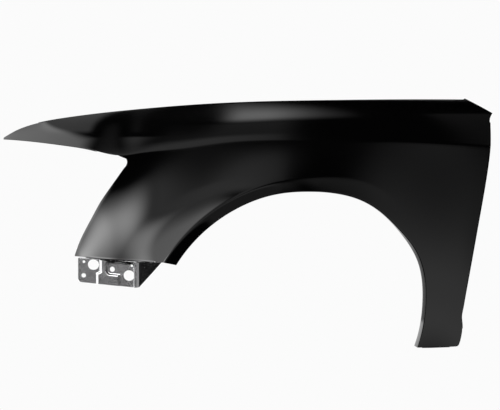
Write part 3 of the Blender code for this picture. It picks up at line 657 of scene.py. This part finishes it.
def joined_mesh(name, grids):
    """One mesh of all grids, moved to the rail origin, welded where they share an edge, faces outboard."""
    points = np.concatenate([grid.reshape(-1, 3) for grid in grids]) - RAIL
    faces = []
    first = 0
    for grid in grids:
        rows, columns = grid.shape[:2]
        corner = first + (np.arange(rows - 1)[:, None] * columns + np.arange(columns - 1)[None]).ravel()
        faces.append(np.stack((corner, corner + 1, corner + columns + 1, corner + columns), axis=1))
        first += rows * columns
    mesh = bpy.data.meshes.new(name)
    mesh.from_pydata(points.tolist(), [], np.concatenate(faces).tolist())
    bm = bmesh.new()
    bm.from_mesh(mesh)
    bmesh.ops.remove_doubles(bm, verts=bm.verts, dist=WELD_DISTANCE)
    bmesh.ops.recalc_face_normals(bm, faces=bm.faces)
    if sum(face.normal.y * face.calc_area() for face in bm.faces) > 0:
        bmesh.ops.reverse_faces(bm, faces=bm.faces)
    bm.to_mesh(mesh)
    bm.free()
    return mesh


def drills(name, holes):
    """One mesh of bars, each a cylinder along its hole's direction, stretched to an oval."""
    bm = bmesh.new()
    for point, direction, wide, high in holes:
        turn = Vector(direction).to_track_quat("Z", "Y").to_matrix().to_4x4()
        oval = Matrix.Diagonal((wide, high, 1, 1))
        bmesh.ops.create_cone(bm, cap_ends=True, segments=HOLE_SIDES, radius1=1, radius2=1,
                              depth=2 * HOLE_DEPTH, matrix=Matrix.Translation(point - RAIL) @ turn @ oval)
    mesh = bpy.data.meshes.new(name)
    bm.to_mesh(mesh)
    bm.free()
    return mesh


def linked(name, mesh):
    """New object of that mesh in the scene, at the origin."""
    obj = bpy.data.objects.new(name, mesh)
    bpy.context.scene.collection.objects.link(obj)
    return obj


def sheet_piece(name, grids, holes, thickness, material):
    """Pressed sheet: the welded grids given a wall on their inboard side, with the holes cut through."""
    sheet = linked(name + "_sheet", joined_mesh(name + "_sheet", grids))
    cutter = linked(name + "_drills", drills(name + "_drills", holes))
    wall = sheet.modifiers.new("Wall", "SOLIDIFY")
    wall.thickness = thickness
    wall.offset = -1
    cut = sheet.modifiers.new("Holes", "BOOLEAN")
    cut.operation = "DIFFERENCE"
    cut.object = cutter
    depsgraph = bpy.context.evaluated_depsgraph_get()
    mesh = bpy.data.meshes.new_from_object(sheet.evaluated_get(depsgraph))
    mesh.name = name
    bpy.data.objects.remove(sheet)
    bpy.data.objects.remove(cutter)
    mesh.shade_smooth()
    mesh.set_sharp_from_angle(angle=SHARP_ANGLE)
    mesh.materials.clear()
    mesh.materials.append(material)
    return linked(name, mesh)


# Shader values

class Value:
    """A number that varies over a surface or a sky; Python's operators add its Math nodes."""

    def __init__(self, nodes, socket):
        self.nodes = nodes
        self.socket = socket

    def math(self, operation, *numbers):
        return self.nodes.make("ShaderNodeMath", {"operation": operation}, dict(enumerate(numbers)))

    def __add__(self, other):
        return self.math("ADD", self, other)

    def __sub__(self, other):
        return self.math("SUBTRACT", self, other)

    def __mul__(self, other):
        return self.math("MULTIPLY", self, other)

    def __truediv__(self, other):
        return self.math("DIVIDE", self, other)

    def __pow__(self, other):
        return self.math("POWER", self, other)

    def __radd__(self, other):
        return self.math("ADD", other, self)

    def __rsub__(self, other):
        return self.math("SUBTRACT", other, self)

    def __rmul__(self, other):
        return self.math("MULTIPLY", other, self)

    def at_least(self, low):
        return self.math("MAXIMUM", self, low)

    def rise(self, low, high):
        """0 below low, 1 above high and smooth between; falls where high is under low."""
        return self.nodes.make("ShaderNodeMapRange", {"interpolation_type": "SMOOTHSTEP"},
                               {"Value": self, "From Min": low, "From Max": high}, "Result")


class Nodes:
    """The node tree of a material or the world."""

    def __init__(self, owner):
        owner.use_nodes = True
        self.tree = owner.node_tree
        self.tree.nodes.clear()

    def make(self, kind, settings=None, inputs=None, output=0):
        """A node of that type: its settings first, then values or links for its sockets."""
        node = self.tree.nodes.new(kind)
        for name, setting in (settings or {}).items():
            setattr(node, name, setting)
        for name, given in (inputs or {}).items():
            if isinstance(given, Value):
                self.tree.links.new(given.socket, node.inputs[name])
            else:
                node.inputs[name].default_value = given
        return Value(self, node.outputs[output]) if len(node.outputs) else node

    def noise(self, scale, detail, roughness):
        place = self.make("ShaderNodeTexCoord", output="Object")
        return self.make("ShaderNodeTexNoise", {}, {"Vector": place, "Scale": scale, "Detail": detail,
                                                    "Roughness": roughness})


def black_primer():
    """Semi-gloss black primer: even, with a faint orange peel and slightly uneven gloss."""
    material = bpy.data.materials.new("black_primer")
    nodes = Nodes(material)
    gloss = nodes.noise(14.0, 3.0, 0.5)
    peel = nodes.noise(420.0, 2.0, 0.5)
    bump = nodes.make("ShaderNodeBump", {}, {"Height": peel, "Strength": 0.05, "Distance": 0.0003}, "Normal")
    shader = nodes.make("ShaderNodeBsdfPrincipled", {}, {
        "Base Color": (0.0010, 0.0010, 0.0011, 1), "Roughness": 0.075 + 0.02 * gloss, "Normal": bump})
    nodes.make("ShaderNodeOutputMaterial", {}, {"Surface": shader})
    return material


def zinc_sheet():
    """Bare zinc-coated steel: satin, with cloudy gloss and fine rolling grain."""
    material = bpy.data.materials.new("zinc_sheet")
    nodes = Nodes(material)
    cloud = nodes.noise(55.0, 4.0, 0.6)
    grain = nodes.noise(900.0, 2.0, 0.5)
    colour = nodes.make("ShaderNodeMix", {"data_type": "RGBA"}, {
        "Factor": cloud, 6: (0.48, 0.48, 0.49, 1), 7: (0.76, 0.76, 0.77, 1)}, 2)
    bump = nodes.make("ShaderNodeBump", {}, {"Height": grain, "Strength": 0.10, "Distance": 0.0002}, "Normal")
    shader = nodes.make("ShaderNodeBsdfPrincipled", {}, {
        "Base Color": colour, "Metallic": 1.0, "Roughness": 0.16 + 0.07 * cloud, "Normal": bump})
    nodes.make("ShaderNodeOutputMaterial", {}, {"Surface": shader})
    return material


# Studio

BACKDROP = 0.965
MATT_LIGHT = 0.85
FLOOR_LEVEL = -1.25
FLOOR_RADIUS = 2.2
FLOOR_SIDES = 96
FLOOR_FADE = (0.45, 0.98)
FLOOR_COLOUR = (0.90, 0.90, 0.90, 1)
CAMERA_PLACE = (-0.1729, -3.6, 0.2546)
PICTURE_WIDTH = 1.34
SENSOR = 36
FARTHEST = 100

# Lights for what shines, by the p and q of studio_world: strengths, and (from, to) of each soft edge
KEY_LIGHT = 2.120
KEY_SLANT = 1.868
KEY_CORNER = 0.576
KEY_SIDE = (-0.454, -0.234)
KEY_FOOT = (0.010, 0.068)
KEY_TOP = (1.671, 1.357)
HOT_LIGHT = 5.284
HOT_BAND = (-0.965, -0.300, 0.098, 0.214, 0.075, 0.056)
SPILL_LIGHT = 0.908
SPILL_START = -0.05
SPILL_RUN = 0.607
SPILL_POWER = 0.591
SPILL_TOP = (0.461, 0.243)
OVERHEAD_LIGHT = 1.888
OVERHEAD_EDGES = ((-0.242, -0.177), (0.065, -0.130), (0.888, 1.133), (1.629, 1.157))
REAR_LIGHT = 0.95
REAR_START = (0.55, 0.80)

# Soft boxes: strength, left, right, low, high
SOFT_BOXES = ((0.643, -0.864, -0.335, 0.696, 1.502), (0.210, -0.230, -0.049, 0.033, 0.920),
              (0.719, 0.018, 0.27, -0.183, -0.017), (0.210, -0.049, 0.413, -0.75, -0.129),
              (0.086, 0.251, 0.60, 0.10, 1.10), (0.05, -0.75, -0.34, -0.16, -0.01),
              (2.0, -1.75, -1.02, -0.35, 0.02))
BOX_SIDE = 0.04
BOX_END = 0.06
LEAST_DEPTH = 0.02


def studio_world():
    """White backdrop for the camera, plain light for matt surfaces, soft boxes for what shines.

    A direction is placed by p = x / (1 - y) and q = z / (1 - y), where p = q = 0 looks out at the camera's
    side, -p is the car's front, and p² + q² over 1 is behind the part.
    """
    world = bpy.data.worlds.new("studio")
    bpy.context.scene.world = world
    world.cycles.sampling_method = "NONE"
    nodes = Nodes(world)
    direction = nodes.make("ShaderNodeTexCoord", output="Generated")
    x, y, z = (nodes.make("ShaderNodeSeparateXYZ", {}, {"Vector": direction}, axis) for axis in "XYZ")
    depth = (1 - y).at_least(LEAST_DEPTH)
    p, q = x / depth, z / depth

    def box(left, right, low, high, side=BOX_SIDE, end=BOX_END):
        across = p.rise(left - side, left + side) * p.rise(right + side, right - side)
        return across * q.rise(low - end, low + end) * q.rise(high + end, high - end)

    beside = (p + KEY_SLANT * (q - KEY_CORNER).at_least(0)).rise(*KEY_SIDE)
    low_edge = q.rise(*KEY_FOOT)
    key = (1 - beside) * low_edge * q.rise(*KEY_TOP)
    fade = ((SPILL_START - p) / SPILL_RUN).at_least(0) ** SPILL_POWER
    spill = fade * beside * low_edge * q.rise(*SPILL_TOP)
    front, rear, foot, top = OVERHEAD_EDGES
    overhead = p.rise(*front) * p.rise(*rear) * q.rise(*foot) * q.rise(*top)
    light = (KEY_LIGHT * key + HOT_LIGHT * box(*HOT_BAND) + SPILL_LIGHT * spill + OVERHEAD_LIGHT * overhead
             + REAR_LIGHT * y.rise(*REAR_START))
    for power, *place in SOFT_BOXES:
        light = light + power * box(*place)
    path = nodes.make("ShaderNodeLightPath", output="Is Camera Ray")
    matt = nodes.make("ShaderNodeLightPath", output="Is Diffuse Ray")
    shining = (1 - path) * (1 - matt)
    strength = BACKDROP * path + MATT_LIGHT * matt * (1 - path) + light * shining
    sky = nodes.make("ShaderNodeBackground", {}, {"Color": (1, 1, 1, 1), "Strength": strength})
    nodes.make("ShaderNodeOutputWorld", {}, {"Surface": sky})


def floor():
    """Pale round floor well below the hung part, fading out at its rim; a disc r × (cos a, sin a)."""
    angle = np.linspace(0, 2 * math.pi, FLOOR_SIDES + 1)[:-1]
    level = np.full(FLOOR_SIDES, FLOOR_LEVEL)
    rim = np.stack((FLOOR_RADIUS * np.cos(angle), FLOOR_RADIUS * np.sin(angle), level), axis=1)
    mesh = bpy.data.meshes.new("floor")
    mesh.from_pydata(rim.tolist(), [], [list(range(len(rim)))])
    material = bpy.data.materials.new("pale_floor")
    nodes = Nodes(material)
    place = nodes.make("ShaderNodeTexCoord", output="Object")
    flat = nodes.make("ShaderNodeVectorMath", {"operation": "MULTIPLY"}, {0: place, 1: (1, 1, 0)})
    distance = nodes.make("ShaderNodeVectorMath", {"operation": "LENGTH"}, {0: flat}, "Value")
    matt = nodes.make("ShaderNodeBsdfDiffuse", {}, {"Color": FLOOR_COLOUR})
    clear = nodes.make("ShaderNodeBsdfTransparent")
    gone = distance.rise(*(share * FLOOR_RADIUS for share in FLOOR_FADE))
    mixed = nodes.make("ShaderNodeMixShader", {}, {0: gone, 1: matt, 2: clear})
    nodes.make("ShaderNodeOutputMaterial", {}, {"Surface": mixed})
    mesh.materials.append(material)
    disc = linked("floor", mesh)
    disc.visible_glossy = False


def camera():
    """Level camera square to the body side, seeing PICTURE_WIDTH across at the panel's widest point."""
    data = bpy.data.cameras.new("camera")
    data.lens = SENSOR * -CAMERA_PLACE[1] / PICTURE_WIDTH
    data.sensor_width = SENSOR
    data.sensor_fit = "HORIZONTAL"
    data.clip_end = FARTHEST
    obj = bpy.data.objects.new("camera", data)
    obj.location = Vector(CAMERA_PLACE) - Vector(RAIL)
    obj.rotation_euler = (math.pi / 2, 0, 0)
    bpy.context.scene.collection.objects.link(obj)
    bpy.context.scene.camera = obj


grids = panel_grids()
bracket = bracket_grids(grids["side"])
pieces = (("pressed_panel", "fender_panel", list(grids.values()), panel_holes(grids), SHEET, black_primer()),
          ("welded_bracket", "bumper_bracket", list(bracket.values()), bracket_holes(bracket["plate"]),
           BRACKET_SHEET, zinc_sheet()))
for name, node, rows, holes, thickness, material in pieces:
    piece = sheet_piece(name, rows, holes, thickness, material)
    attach(piece, "root")
    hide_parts(node)
studio_world()
floor()
camera()
bpy.context.scene.view_settings.view_transform = "Standard"
